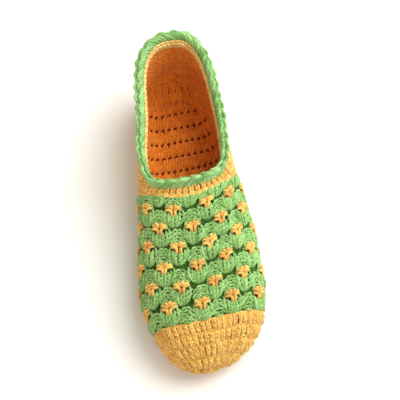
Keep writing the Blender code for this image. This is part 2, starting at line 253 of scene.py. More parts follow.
def onto_form(points):
    """Moves points that are near the form onto it, level where the wall is upright."""
    origins = points.copy()
    origins[..., 0] = 0.0
    origins[..., 1] = np.clip(points[..., 1], TOE_FAN_Y, HEEL_FAN_Y)
    origins[..., 2] = np.minimum(points[..., 2], RAY_HEIGHT)
    return reach_surface(origins, unit(points - origins))


def on_spine(ys):
    """Points over the spine at the feather line's height."""
    return np.stack([0 * ys, ys, 0 * ys + FEATHER_HEIGHT], axis=-1)


def turned_down(headings, turns):
    """Level directions turned down by angles."""
    return np.cos(turns) * headings + np.sin(turns) * np.array([0.0, 0.0, -1.0])


def round_points(foot_ys, angles):
    """Points of the form on rounds of crochet, by angle over the arch from +X."""
    foot_ys, angles = np.broadcast_arrays(foot_ys, angles)
    rounds = (CAP_EDGE, MID_VAMP, BAND_EDGE)
    crowns, feet, sweeps = np.array(rounds).T
    crowns, sweeps = (np.interp(foot_ys, feet, part) for part in (crowns, sweeps))
    across, upright = np.cos(angles), np.sin(angles)
    start_ys = foot_ys + (crowns - foot_ys) * np.maximum(upright, 0) ** sweeps
    directions = np.stack([across, across * SIDE_SLANT, upright], axis=-1)
    return reach_surface(on_spine(start_ys), directions)


def distances_along(points):
    steps = np.linalg.norm(np.diff(points, axis=0), axis=-1)
    return np.concatenate([[0.0], np.cumsum(steps)])


def points_along(points, distances):
    """Points at the given distances along a line of points."""
    return resampled(distances, distances_along(points), points)


def collar_half(side, count=241):
    """The collar's edge from the middle of the throat to the back of the heel."""
    turns = np.linspace(0, math.pi, count)
    directions = np.stack(
        [side * np.sin(turns), -np.cos(turns), np.zeros(count)], axis=-1
    )
    origins = np.broadcast_to([0.0, COLLAR_CENTRE_Y, 0.0], directions.shape)
    knots, heights = COLLAR.T

    def lift(points):
        slanted_y = points[..., 1] - SIDE_SLANT * points[..., 0]
        at = np.clip((slanted_y + HALF_LENGTH) / LENGTH, knots[0], knots[-1])
        lifted = points.copy()
        lifted[..., 2] = through(at, knots, heights)
        return lifted

    return reach_surface(origins, directions, lift)


def feather_half(side, first_y, count=121):
    """The feather line from a place on one side to the back of the heel."""
    straight = np.linspace(first_y, HEEL_FAN_Y, count)
    turns = np.linspace(0, math.pi / 2, count)[1:]
    turns = np.concatenate([np.zeros(count), turns])
    ys = np.concatenate([straight, np.full(count - 1, HEEL_FAN_Y)])
    directions = np.stack([side * np.cos(turns), np.sin(turns), 0 * ys], axis=-1)
    return reach_surface(on_spine(ys), directions)


def wall_half(side, levels):
    """Half of the band, side wall and heel: columns by levels, lower edge to collar."""
    angles = np.linspace(math.pi / 2, 0 if side > 0 else math.pi, 121)
    front = round_points(BAND_EDGE.foot + ROUND_GAP, angles)
    feather = feather_half(side, front[-1, 1])
    front_length = distances_along(front)[-1]
    feather_length = distances_along(feather)[-1]
    front_at = np.linspace(0, front_length, BAND_COLUMNS + 1)
    feather_at = np.linspace(0, feather_length, WALL_COLUMNS + 1)[1:]
    lower = np.concatenate(
        [points_along(front, front_at), points_along(feather, feather_at)]
    )
    share = distances_along(lower) / (front_length + feather_length)
    collar = collar_half(side)
    upper = points_along(collar, np.minimum(share, 1) * distances_along(collar)[-1])
    rise = np.linspace(0, 1, levels + 1)[None, :, None]
    return onto_form(lower[:, None] * (1 - rise) + upper[:, None] * rise)


# Spacing of a patch's columns, and how far before its end it is still read
PATCH_STEP = 1.0
PATCH_END = 1.0001


class Patch:
    """A piece of cloth: lines of points, read by line number and place on the line.

    A place is in millimetres from the line's middle column, or, where the lines
    are stretched, in the millimetres of the first line.
    """

    def __init__(self, points, normals, middle, lines_per_unit, stretch=False):
        steps = np.linalg.norm(np.diff(points, axis=1), axis=-1)
        arcs = np.concatenate([np.zeros((len(points), 1)), np.cumsum(steps, axis=1)], 1)
        arcs -= arcs[:, middle : middle + 1]
        self.lengths = arcs[:, -1] - arcs[:, 0]
        if stretch:
            arcs *= (self.lengths[0] / np.maximum(self.lengths, TINY))[:, None]
        self.first, self.last = arcs[:, 0], arcs[:, -1]
        self.start, stop = self.first.min(), self.last.max()
        self.count = int((stop - self.start) / PATCH_STEP) + 2
        self.step = (stop - self.start) / (self.count - 1)
        places = self.start + self.step * np.arange(self.count)
        self.points, self.normals = (
            np.array([resampled(places, arc, line) for arc, line in zip(arcs, grid)])
            for grid in (points, normals)
        )
        self.per_unit = lines_per_unit
        self.units = (len(points) - 1) / lines_per_unit

    def ends(self, rows):
        """First and last place on the lines."""
        known = np.arange(len(self.first)) / self.per_unit
        return np.interp(rows, known, self.first), np.interp(rows, known, self.last)

    def at(self, rows, places, lift):
        """Points and normals at rows and places, lifted off the cloth."""
        r = np.clip(rows * self.per_unit, 0, len(self.points) - PATCH_END)
        c = np.clip((places - self.start) / self.step, 0, self.count - PATCH_END)
        r0, c0 = r.astype(int), c.astype(int)
        dr, dc = (r - r0)[..., None], (c - c0)[..., None]

        def read(grid):
            low = grid[r0, c0] * (1 - dc) + grid[r0, c0 + 1] * dc
            high = grid[r0 + 1, c0] * (1 - dc) + grid[r0 + 1, c0 + 1] * dc
            return low * (1 - dr) + high * dr

        normals = unit(read(self.normals))
        return read(self.points) + normals * lift[..., None], normals


def respaced(points, level, pitch, per_unit):
    """Columns of a wall grid spaced evenly along one level, a whole number of units."""
    line = distances_along(points[:, level])
    units = round(line[-1] / pitch)
    wanted = np.linspace(0, line[-1], units * per_unit + 1)
    levels = range(points.shape[1])
    return np.stack([resampled(wanted, line, points[:, k]) for k in levels], axis=1)


# What the yarn's material reads from a mesh, and the shift between its strands
UV_NAME = "yarn"
TONE_NAME = "tone"
UV_SHIFT = 10.0


class Yarn:
    """Collects strands of yarn and makes one mesh of them."""

    def __init__(self, seed):
        self.random = np.random.default_rng(seed)
        self.groups = []

    def lay(self, patch, rows, places, lift, radius):
        """Strands on a patch, one line of each array per strand."""
        rows, places, lift = np.broadcast_arrays(rows, places, lift)
        self.add(*patch.at(rows, places, lift), radius)

    def add(self, points, normals, radius):
        """Strands by the points of their middle lines."""
        radii = np.broadcast_to(radius, points.shape[:2])
        self.groups.append((points, normals, radii))

    def make(self, name, material, slot, replaced=(), sides=7):
        """One mesh of all strands: tubes of quads, closed by a cap at each end."""
        vertices, tones, corners, uvs, starts = [], [], [], [], []
        first_vertex = first_loop = 0
        j = np.arange(sides)
        for points, normals, radii in self.groups:
            strands, count = points.shape[:2]
            vertices.append(tube_rings(points, normals, radii, sides).reshape(-1, 3))
            tones.append(np.repeat(self.random.random(strands), count * sides))
            base = first_vertex + np.arange(strands)[:, None, None] * count * sides
            ring = base + np.arange(count - 1)[None, :, None] * sides
            near, far = ring + j, ring + (j + 1) % sides
            quads = np.stack([near, far, far + sides, near + sides], axis=-1)
            steps = np.linalg.norm(np.diff(points, axis=1), axis=-1)
            run = np.concatenate([np.zeros((strands, 1)), np.cumsum(steps, 1)], 1)
            run += self.random.random((strands, 1)) * UV_SHIFT
            u0, u1, v0, v1 = np.broadcast_arrays(
                j / sides, (j + 1) / sides, run[:, :-1, None], run[:, 1:, None]
            )
            corners.append(quads.reshape(-1))
            uvs.append(np.stack([u0, v0, u1, v0, u1, v1, u0, v1], -1).reshape(-1, 2))
            starts.append(first_loop + np.arange(0, quads.size, 4))
            first_loop += quads.size
            for place, order in ((0, -1), (count - 1, 1)):
                caps = (base[:, 0] + place * sides + j)[:, ::order]
                corners.append(caps.reshape(-1))
                cap_uv = np.zeros((strands, sides, 2))
                cap_uv[..., 1] = run[:, place, None]
                uvs.append(cap_uv.reshape(-1, 2))
                starts.append(first_loop + np.arange(0, caps.size, sides))
                first_loop += caps.size
            first_vertex += strands * count * sides
        vertices = np.concatenate(vertices)
        vertices[:, 2] = np.maximum(vertices[:, 2], 0.0)
        vertices = (vertices + SPINE_MIDDLE) * MM
        corners, starts = np.concatenate(corners), np.concatenate(starts)
        mesh = bpy.data.meshes.new(name)
        mesh.vertices.add(len(vertices))
        mesh.vertices.foreach_set("co", vertices.reshape(-1))
        mesh.loops.add(len(corners))
        mesh.loops.foreach_set("vertex_index", corners.astype(np.int32))
        mesh.polygons.add(len(starts))
        mesh.polygons.foreach_set("loop_start", starts.astype(np.int32))
        uv_layer = mesh.uv_layers.new(name=UV_NAME)
        uv_layer.data.foreach_set("uv", np.concatenate(uvs).reshape(-1))
        tone_layer = mesh.attributes.new(TONE_NAME, "FLOAT", "POINT")
        tone_layer.data.foreach_set("value", np.concatenate(tones))
        mesh.update(calc_edges=True)
        mesh.shade_smooth()
        mesh.materials.append(material)
        print(name, "triangles", len(corners) - 2 * len(starts))
        add_piece(name, mesh, slot, replaced)


def tube_rings(points, normals, radii, sides):
    """Rings of points round the middle lines of strands."""
    turns = 2 * np.pi * np.arange(sides) / sides
    ahead = unit(np.gradient(points, axis=1))
    aside = unit(np.cross(ahead, normals))
    upward = np.cross(aside, ahead)
    ring = (
        aside[:, :, None] * np.cos(turns)[:, None]
        + upward[:, :, None] * np.sin(turns)[:, None]
    )
    return points[:, :, None] + ring * radii[:, :, None, None]


def link(thing):
    bpy.context.scene.collection.objects.link(thing)


def add_piece(name, mesh, slot, replaced=()):
    piece = bpy.data.objects.new(name, mesh)
    link(piece)
    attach(piece, "root")
    if replaced:
        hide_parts(*replaced)


# Corners of the backing that are one point, and the least angle of its sharp edges
MERGE_DISTANCE = 1e-5
SHARP_ANGLE = math.radians(50)


def make_backing(name, outer, normals, thickness, material, slot, ring=False):
    """The body of the cloth behind its yarn: two skins closed along their edges."""
    mesh = bmesh.new()
    skins = []
    for depth, lowest in (
        (BACKING_DEPTH, BACKING_DEPTH), (thickness - BACKING_DEPTH, UNDER_YARN_TOP),
    ):
        skin = outer - normals * depth
        skin[..., 2] = np.maximum(skin[..., 2], lowest)
        skin = (skin + SPINE_MIDDLE) * MM
        skins.append([[mesh.verts.new(point) for point in line] for line in skin])
    front, back = skins
    rows, columns = outer.shape[:2]
    spans = [(r, (r + 1) % rows) for r in range(rows if ring else rows - 1)]

    def face(*corners):
        mesh.faces.new(corners)

    for r, s in spans:
        for c in range(columns - 1):
            face(front[r][c], front[r][c + 1], front[s][c + 1], front[s][c])
            face(back[r][c], back[s][c], back[s][c + 1], back[r][c + 1])
        for c in (0, columns - 1):
            face(front[r][c], front[s][c], back[s][c], back[r][c])
    if not ring:
        for r in (0, rows - 1):
            for c in range(columns - 1):
                face(front[r][c], back[r][c], back[r][c + 1], front[r][c + 1])
    bmesh.ops.remove_doubles(mesh, verts=mesh.verts, dist=MERGE_DISTANCE)
    bmesh.ops.recalc_face_normals(mesh, faces=mesh.faces)
    data = bpy.data.meshes.new(name)
    mesh.to_mesh(data)
    mesh.free()
    data.shade_smooth()
    data.set_sharp_from_angle(angle=SHARP_ANGLE)
    data.materials.append(material)
    add_piece(name, data, slot)


# Stitches: how posts sit on the cloth, and their shape as shares of their width (how
# far a leg bows from the middle, and its radius). Legs show apart in the open weave
Seat = namedtuple("Seat", "lean lift puff")
Weave = namedtuple("Weave", "spread fullness")
OPEN_WEAVE = Weave(0.24, 0.26)
CLOSE_WEAVE = Weave(0.26, 0.285)
# Where the legs of a post start, beside its middle, as a share of its width
LEG_FOOT = 0.14
# Where on a tall stitch its wraps lie, and how far each slants, as shares of its height
WRAP_SHARES = (0.34, 0.66)
WRAP_SLANT = 0.2
WRAP_WIDTH = 0.85
# A loop of a chain reaches past the next one's start and is wider near its own
LINK_REACH = 1.22
SHORT_REACH = 1.2
LINK_SKEW = 0.8
# Half width and radius of the loops in the chains between rows
CHAIN_HALF = 0.9
CHAIN_RADIUS = 0.85
POST_STEPS = np.linspace(0, 1, 8)[None, :]
LOOP_STEPS = np.linspace(0, 1, 7)[None, :]


def ends_drawn_in(steps, least=0.6):
    """Share of a strand's radius along it, thinner where it dives into the cloth."""
    return least + (1 - least) * hump(steps, 0.5)


def posts(yarn, patch, rows, places, width, seat, weave):
    """Stitch posts of two legs each that stand side by side between two rows."""
    row_from, row_to = rows
    t = POST_STEPS
    jitter = yarn.random.normal(0, 0.05, (len(places), 3))
    for leg in (-1, 1):
        bow = LEG_FOOT + (weave.spread - LEG_FOOT) * hump(t, 0.4)
        along = places[:, None] + leg * width * bow
        along = along + width * (seat.lean * (0.5 - t) + jitter[:, :1] * t)
        at = row_from + (row_to - row_from) * (0.02 + 0.96 * t)
        height = seat.lift + seat.puff * hump(t, 0.7) * (1 + 2 * jitter[:, 1:2])
        height = height + 0.25 * leg * np.sin(2 * np.pi * t)
        radius = width * weave.fullness * ends_drawn_in(t, 0.78) * (1 + jitter[:, 2:3])
        yarn.lay(patch, at, along, height, radius)


def wraps(yarn, patch, tier, places, width, lift, radius):
    """Short strands that wrap slantwise round the legs of a tier's tall stitches."""
    t = LOOP_STEPS
    for share in WRAP_SHARES:
        jitter = yarn.random.normal(0, 0.05, (len(places), 2))
        along = places[:, None] + width * (WRAP_WIDTH * (t - 0.5) + jitter[:, :1])
        rows = tier + share + jitter[:, 1:] + WRAP_SLANT * (t - 0.5)
        height = lift + 0.9 * hump(t, 0.6)
        yarn.lay(patch, rows, along, height, radius * ends_drawn_in(t))


def chain(
    yarn, patch, rows, places, row_size, lift, half=CHAIN_HALF, radius=CHAIN_RADIUS
):
    """A chain of linked loops along a path of rows, or one row, and places."""
    rows, places = np.broadcast_arrays(np.asarray(rows, float), places)
    step_r = np.diff(rows)[:, None] * row_size
    step_p = np.diff(places)[:, None]
    size = np.maximum(np.hypot(step_r, step_p), TINY)
    t = LOOP_STEPS
    reach = LINK_REACH * t
    for leg in (-1, 1):
        aside = leg * half * hump(t**LINK_SKEW, 0.9)
        r = rows[:-1, None] + (step_r * reach - step_p / size * aside) / row_size
        p = places[:-1, None] + step_p * reach + step_r / size * aside
        height = lift + 0.5 * hump(t) - 0.55 * t
        yarn.lay(patch, r, p, height, radius * ends_drawn_in(t))


# Toe cap: tiers of tall stitches parallel to the vamp's edge
CAP_TIERS = len(CAP_ROUND_TURNS) - 1
CAP_LINES = 8
CAP_STITCH = 4.2
CAP_LEAN = 0.22
CAP_ROW_SIZE = 9.0
CHAIN_SINK = -1.0
LEAST_TURN = 0.004


def cap_grid(lines_per_tier, columns, overhang):
    angles = np.linspace(math.pi + overhang, -overhang, columns)
    edge = round_points(CAP_EDGE.foot - ROUND_GAP, angles)
    centre = np.array([0.0, CAP_EDGE.foot - ROUND_GAP, FEATHER_HEIGHT])
    ahead = np.array([0.0, -1.0, 0.0])
    tiers = np.linspace(0, CAP_TIERS, CAP_TIERS * lines_per_tier + 1)
    turns = np.radians(np.interp(tiers, range(CAP_TIERS + 1), CAP_ROUND_TURNS))
    turns = np.maximum(turns, LEAST_TURN)[:, None, None]
    directions = np.sin(turns) * (edge - centre) + np.cos(turns) * CAP_DEPTH * ahead
    origins = np.broadcast_to(centre, directions.shape)
    points = reach_surface(origins, unit(directions))
    return points, outward(points)


def make_toe_cap():
    patch = Patch(*cap_grid(CAP_LINES, 121, 0.05), 60, CAP_LINES, stretch=True)
    yarn = Yarn(11)
    for tier in range(CAP_TIERS):
        length = patch.lengths[int((tier + 0.4) * CAP_LINES)]
        count = max(round(length / CAP_STITCH), 5)
        width = patch.lengths[0] / count
        shift = 0.5 if tier % 2 else 0.3
        places = patch.start + width * (np.arange(count) + shift)
        cap_posts(yarn, patch, tier, places, width, length / count)
        path = patch.start + width * (np.arange(count + 1) + shift - 0.5)
        stretch = patch.lengths[0] / patch.lengths[tier * CAP_LINES]
        chain(
            yarn, patch, tier + 0.03, path, CAP_ROW_SIZE * stretch, CHAIN_SINK,
            0.95 * stretch, 0.8,
        )
    yarn.make("toe_cap_yarn", GOLD, "gold_yarn", ["toe_cap"])
    base = cap_grid(5, 61, 0.0)
    make_backing("toe_cap_backing", *base, WALL, GOLD_BACKING_PAINTED_SHADE, "gold_yarn")


def cap_posts(yarn, patch, tier, places, width, true_width):
    """Tall stitches of one tier, whose legs keep their true thickness."""
    t = POST_STEPS
    jitter = yarn.random.normal(0, 0.08, (len(places), 4))
    for leg in (-1, 1):
        spread = leg * (0.15 + 0.09 * hump(t))
        lean = CAP_LEAN * (t - 0.5) - 0.10 * np.sin(2 * np.pi * t)
        along = places[:, None] + width * (spread + lean + jitter[:, :1] * t)
        rows = tier + 0.02 + leg * 0.04 + (0.98 + jitter[:, 3:4]) * t
        height = -1.4 + 1.2 * hump(t, 0.6) * (1 + 2 * jitter[:, 1:2])
        height = height + 0.3 * leg * np.sin(2 * np.pi * t)
        radius = true_width * 0.27 * ends_drawn_in(t, 0.75) * (1 + jitter[:, 2:3])
        yarn.lay(patch, rows, along, height, radius)
    middles = places + jitter[:, 0] * width * 0.5
    wraps(yarn, patch, tier, middles, width, -0.3, true_width * 0.17)


# Vamp: dots, shell clusters under them, and zigzag chains over them
VAMP_ROWS = 6
VAMP_LINES = 10
VAMP_ROW_SIZE = 15.5
DOT_ROWS = (-0.15, 0.78, 1.71, 2.64, 3.57, 4.50, 5.43)
DOT_ROW_STEP = 0.93
DOT_PITCH = 24.0
DOT_START = 3.6
DOT_DRIFT = 0.65
# How far past the ends of its row a dot may lie
DOT_MARGIN = 4
# Chains over a dot: rise and half width of the arch, distance of its feet, thickness
ZIGZAGS = ((4.2, 5.4, 0.6, 1.0), (4.6, 6.2, 4.2, 1.05), (4.6, 6.0, 8.0, 1.0))
ZIGZAG_LOOPS = 4
ZIGZAG_HALF = 1.25
ZIGZAG_SINK = -0.5
FAN_POSTS = 7
# How far the outer posts of a fan lie from its middle, from their foot upwards
FAN_STEPS = (0, 0.2, 0.5, 0.8, 1)
FAN_SPREADS = (6.0, 6.8, 7.0, 5.4, 2.8)


def vamp_grid(lines, columns, overhang):
    angles = np.linspace(math.pi + overhang, -overhang, columns)
    foot_ys = np.linspace(
        CAP_EDGE.foot + ROUND_GAP, BAND_EDGE.foot - ROUND_GAP, lines * VAMP_ROWS + 1
    )
    points = round_points(foot_ys[:, None], angles[None, :])
    return points, outward(points)


def dots_of_row(patch, k, row, end_row):
    """Row and place of each dot of the k-th row, as far as the cloth reaches."""
    first, last = patch.ends(end_row)
    offset = DOT_START - DOT_DRIFT * k + (0 if k % 2 else DOT_PITCH / 2)
    for n in range(-4, 5):
        place = offset + n * DOT_PITCH
        if first - DOT_MARGIN < place < last + DOT_MARGIN:
            yield row, place


def make_vamp():
    patch = Patch(*vamp_grid(VAMP_LINES, 181, 0.06), 90, VAMP_LINES)
    fans, chains, dots = Yarn(21), Yarn(22), Yarn(23)
    for k, dot_row in enumerate(DOT_ROWS):
        for row, place in dots_of_row(patch, k, dot_row, dot_row):
            if row > 0:
                moved = fans.random.normal(0, 0.5, 2)
                row, place = row + moved[0] / VAMP_ROW_SIZE, place + moved[1]
                fan(fans, patch, row, place)
                dot(dots, patch, row, place)
            zigzag(chains, patch, row, place)
    # Half fans hang from the band where the next row of dots would be
    hanging = DOT_ROWS[-1] + DOT_ROW_STEP
    for row, place in dots_of_row(patch, len(DOT_ROWS), hanging, VAMP_ROWS):
        fan(fans, patch, row, place)
    fans.make("vamp_shells", GREEN, "green_yarn", ["vamp"])
    chains.make("vamp_chains", GREEN, "green_yarn", sides=6)
    dots.make("vamp_dots", GOLD, "gold_yarn")
    base = vamp_grid(4, 81, 0.0)
    make_backing("vamp_backing", *base, VAMP_WALL, GREEN_BACKING_PAINTED_SHADE, "green_yarn")


def zigzag(yarn, patch, row, place):
    """Chains in arches over a dot, which rise towards the heel."""
    t = np.linspace(-1, 1, ZIGZAG_LOOPS + 1)
    for rise, half, v, radius in ZIGZAGS:
        jitter = yarn.random.normal(0, 0.25, 3)
        v = v + jitter[0] + (rise + jitter[2]) * (1 - np.abs(t) ** 1.7)
        rows, places = row + v / VAMP_ROW_SIZE, place + jitter[1] + half * t
        keep = (rows > -0.05) & (rows < VAMP_ROWS + 0.05)
        if keep.sum() > 2:
            chain(
                yarn, patch, rows[keep], places[keep], VAMP_ROW_SIZE, ZIGZAG_SINK,
                ZIGZAG_HALF, radius,
            )


def fan(yarn, patch, row, place):
    """A shell of posts that spread from under a dot and gather at their foot."""
    t = POST_STEPS
    tilt, size = yarn.random.normal(0, 1.0, 2)
    for k in np.linspace(-1, 1, FAN_POSTS):
        jitter = yarn.random.normal(0, 0.15, 3)
        spread = np.interp(t, FAN_STEPS, FAN_SPREADS) * (1 + 0.05 * size)
        along = place + k * spread + 3.0 * jitter[0] * hump(t)
        along = along + 0.8 * tilt * (t - 0.3)
        v = 3.2 - 3.6 * k**2 + t * (10.2 + 2.6 * k**2) + 2 * jitter[2] * (1 - t)
        rows = np.clip(row - v / VAMP_ROW_SIZE, 0.02, VAMP_ROWS - 0.02)
        height = -1.3 + (1.9 - 0.6 * k**2 + 3.0 * jitter[1]) * hump(t**0.85, 0.7)
        radius = (1.08 + 0.5 * jitter[2]) * ends_drawn_in(t, 0.7)
        yarn.lay(patch, rows, along, height, radius)
        for share in WRAP_SHARES:
            at = int(share * (t.size - 1))
            middle = slice(at, at + 1)
            across = np.linspace(-1, 1, 5)[None, :]
            yarn.lay(
                patch, rows[:, middle] + 0.9 * across / VAMP_ROW_SIZE,
                along[:, middle] + 1.5 * across,
                height[:, middle] + 0.55 - 0.8 * across**2, 0.72,
            )


# Ends of a dot's lobes: place and distance towards the toe, then the same inside
DOT_LOBES = (
    ((-5.8, 0.5), (-0.7, 1.5)),
    ((-5.2, -1.9), (-0.6, 0.2)),
    ((-2.8, -3.4), (-0.2, -0.7)),
    ((5.8, -0.5), (0.8, 1.3)),
    ((5.1, -2.4), (0.6, -0.2)),
    ((2.1, -3.7), (0.4, -0.8)),
    ((1.7, 0.5), (1.0, 4.7)),
    ((-1.0, 1.1), (-1.1, 4.5)),
)


def dot(yarn, patch, row, place):
    """A flower of a few gold loops: two petals spread upwards and one hangs down."""
    t = LOOP_STEPS
    for (p0, v0), (p1, v1) in DOT_LOBES:
        jitter = yarn.random.normal(0, 0.22, 4)
        along = place + p0 + (p1 - p0) * t + jitter[0]
        v = v0 + (v1 - v0) * t + jitter[1] - 0.5 * hump(t)
        height = -0.2 + 1.4 * hump(t, 0.8) + 0.4 * jitter[2]
        radius = (1.2 + 0.15 * jitter[3]) * ends_drawn_in(t, 0.7)
        yarn.lay(patch, row - v / VAMP_ROW_SIZE, along, height, radius)


# Band, walls and heel
WALL_LEVELS = 16
RIB_PITCH = 6.2
RIB_LINES = 4
WALL_STITCH = 4.9
BAND_HEIGHT_LIMIT = 17.0
BAND_STITCH = 4.6
# Band height from which its stitches stand in two tiers
TALL_BAND = 10.5
# From where to where up the band a tier stands, and whether where the band is tall
BAND_TIERS = ((False, 0.22, 0.96), (True, 0.22, 0.6), (True, 0.58, 0.96))
# Where up the band its chains run
BAND_CHAINS = (0.03, 0.2, 0.96)
OUTER_SEAT = Seat(0.0, -1.7, 0.9)
INNER_SEAT = Seat(0.0, -0.7, 0.3)
SEAM_STITCH = 4.6
SEAM_WIDTH = 0.16


def wall_patches(side):
    """Outer and inner cloth of one side; units are ribs, places run up the wall."""
    half = wall_half(side, WALL_LEVELS)
    grid = onto_form(respaced(half, WALL_LEVELS // 2, RIB_PITCH, RIB_LINES))
    normals = outward(grid)
    outer = Patch(grid, normals, 0, RIB_LINES)
    inner = Patch(grid - normals * WALL, -normals, 0, RIB_LINES)
    return grid, normals, outer, inner


def rib_rows(yarn, patch, first_unit, seat, weave):
    """Rows of stitches that run up the wall, one row a rib."""
    last_unit = int(patch.units) - 1
    for rib in range(first_unit, last_unit + 1):
        # The last rib reaches the seam
        rows = (rib - 0.03, patch.units if rib == last_unit else rib + 1.03)
        height = patch.ends(rib + 0.5)[1]
        count = max(int(round((height - 1.5) / WALL_STITCH)), 1)
        width = (height - 1.0) / count
        path = 0.5 + width * np.arange(count + 1)
        posts(yarn, patch, rows, path[:-1] + width / 2, width, seat, weave)
        if rib % 2:
            chain(yarn, patch, rib, path, RIB_PITCH, seat.lift + 0.9)


def make_walls():
    outer_yarn, inner_yarn, seam = Yarn(31), Yarn(32), Yarn(33)
    grids = []
    for side in (1, -1):
        grid, normals, outer, inner = wall_patches(side)
        grids.append(np.stack([grid, normals]))
        heights = outer.ends(np.arange(int(outer.units)) + 0.5)[1]
        first_unit = int(np.argmax(heights > BAND_HEIGHT_LIMIT))
        rib_rows(outer_yarn, outer, first_unit, OUTER_SEAT, OPEN_WEAVE)
        rib_rows(inner_yarn, inner, first_unit, INNER_SEAT, CLOSE_WEAVE)
        band_posts(outer_yarn, outer, first_unit, side)
        band_posts(inner_yarn, inner, first_unit, side)
        # Sewn stitches of the seam at the back of the heel
        t = LOOP_STEPS
        rows = outer.units - SEAM_WIDTH * (1 - t)
        places = np.arange(3.0, outer.ends(outer.units)[1] - 1.0, SEAM_STITCH)[:, None]
        for patch, lift, yarn in ((outer, -0.5, seam), (inner, 0.0, inner_yarn)):
            radius = ends_drawn_in(1 - t * 0.5)
            yarn.lay(patch, rows, places + 1.6 * t * side, lift + 0.4 * t, radius)
    outer_yarn.make("wall_yarn_outside", GOLD, "gold_yarn", ["heel_and_sides"])
    # The inner yarn takes a deeper orange copy of the gold: painted shade inside the shoe
    inner_yarn.make("wall_yarn_inside", GOLD_INSIDE_PAINTED_SHADE, "gold_yarn", sides=6)
    seam.make("heel_seam_yarn", GOLD, "gold_yarn")
    right, left = grids
    ring = np.concatenate([right[:, ::2], left[:, -1:0:-2]], axis=1)
    make_backing("wall_backing", *ring, WALL, GOLD_BACKING_PAINTED_SHADE, "gold_yarn", ring=True)


def band_posts(yarn, patch, last_unit, side):
    """Upright stitches of the throat band in one tier or two, and its chains."""
    t = POST_STEPS
    count = round(last_unit * RIB_PITCH / BAND_STITCH)
    all_units = (np.arange(count) + 0.5)[:, None] / count * last_unit
    all_heights = patch.ends(all_units)[1]
    tall = all_heights[:, 0] > TALL_BAND
    for is_tall, low, high in BAND_TIERS:
        units, height = all_units[tall == is_tall], all_heights[tall == is_tall]
        jitter = yarn.random.normal(0, 0.06, (len(units), 2))
        for leg in (-1, 1):
            bow = LEG_FOOT + 0.08 * hump(t)
            rows = units + leg * bow * BAND_STITCH / RIB_PITCH
            rows = rows + side * 0.10 * (t - 0.5) + jitter[:, :1] * t * 0.3
            places = height * (low + (high - low) * t)
            lift = -1.5 + 1.2 * hump(t, 0.7) + jitter[:, 1:2]
            yarn.lay(patch, rows, places, lift, 1.2 * ends_drawn_in(t))
    edges = np.arange(count + 1) / count * last_unit
    for share in BAND_CHAINS:
        chain_up(yarn, patch, edges, share)


def chain_up(yarn, patch, units, share):
    """A chain that runs across the ribs at a share of the wall's height."""
    t = LOOP_STEPS
    start, step = units[:-1, None], np.diff(units)[:, None]
    for leg in (-1, 1):
        rows = start + step * SHORT_REACH * t
        places = patch.ends(rows)[1] * share + leg * 0.95 * hump(t**LINK_SKEW)
        lift = -0.4 + 0.4 * hump(t) - 0.5 * t
        yarn.lay(patch, rows, places, lift, 0.9 * ends_drawn_in(t))


# Sole
SOLE_ROW = 6.5
SOLE_LINES = 4
SOLE_STITCH = 4.9
# How far the rows may reach towards toe and heel, and how deep in the form they stay
SOLE_REACH = 122.0
SOLE_DEPTH = -0.08
# Half the height of the holes inside, as a share of a row
SOLE_OPENING = 0.15
SOLE_SEAT = Seat(0.10, -1.4, 0.7)
RING_SEAT = Seat(0.10, -1.5, 0.7)
# Turns below the feather line: the outer ring's start, the inner ring's, which
# reaches up behind the wall's yarn, and the end of both
OUTER_RING_TURN = -2.0
INNER_RING_TURN = -7.0
END_RING_TURN = 24.0
END_RING_TIERS = ((0.0, 0.53), (0.47, 1.0))
RIM_STITCH = 4.6


def sole_patches():
    """Underside and inner cloth; units are rows across the shoe."""
    rows = int(2 * SOLE_REACH / SOLE_ROW)
    ys = -SOLE_REACH + np.arange(rows * SOLE_LINES + 1) * SOLE_ROW / SOLE_LINES
    within = form_field(on_spine(ys)) < SOLE_DEPTH
    first, last = np.flatnonzero(within)[[0, -1]]
    first += -first % SOLE_LINES
    last -= (last - first) % SOLE_LINES
    turns = np.linspace(math.pi, 0, 61)
    origins = on_spine(ys[first : last + 1, None] + 0 * turns)
    across = np.cos(turns)
    directions = np.stack([across, across * SIDE_SLANT, -np.sin(turns)], -1)
    points = reach_surface(origins, np.broadcast_to(directions, origins.shape))
    normals = outward(points)
    raised = points - normals * SOLE_WALL
    raised[..., 2] = np.maximum(raised[..., 2], UNDER_YARN_TOP + 1.0)
    pressed = points.copy()
    pressed[..., 2] = np.maximum(pressed[..., 2], 0.0)
    under = Patch(pressed, normals, 30, SOLE_LINES)
    return under, Patch(raised, -normals, 30, SOLE_LINES)


def sole_rows(yarn, patch, opening):
    """Rows of stitches across the sole, with holes between them where it opens."""
    t = LOOP_STEPS
    for unit_row in range(int(patch.units)):
        first, last = patch.ends(unit_row + 0.5)
        count = int(round((last - first) / SOLE_STITCH))
        width = (last - first) / count
        shift = 0.075 if unit_row % 2 else 0.0
        places = first + width * (np.arange(count) + 0.5) + width * shift
        start, end = unit_row - 0.04, unit_row + 1.04
        if opening and unit_row % 2:
            end = unit_row + 1 - opening
        elif opening:
            start = unit_row + opening
            # Bars cross the holes
            bars = unit_row + 1.6 * opening * (2 * t - 1)
            lift = SOLE_SEAT.lift + 0.3 * hump(t)
            yarn.lay(patch, bars, places[:, None], lift, 0.23 * width)
        posts(yarn, patch, (start, end), places, width, SOLE_SEAT, CLOSE_WEAVE)
        if unit_row % 2:
            path = first + width * np.arange(count + 1)
            chain(yarn, patch, unit_row, path, SOLE_ROW, SOLE_SEAT.lift + 0.75)


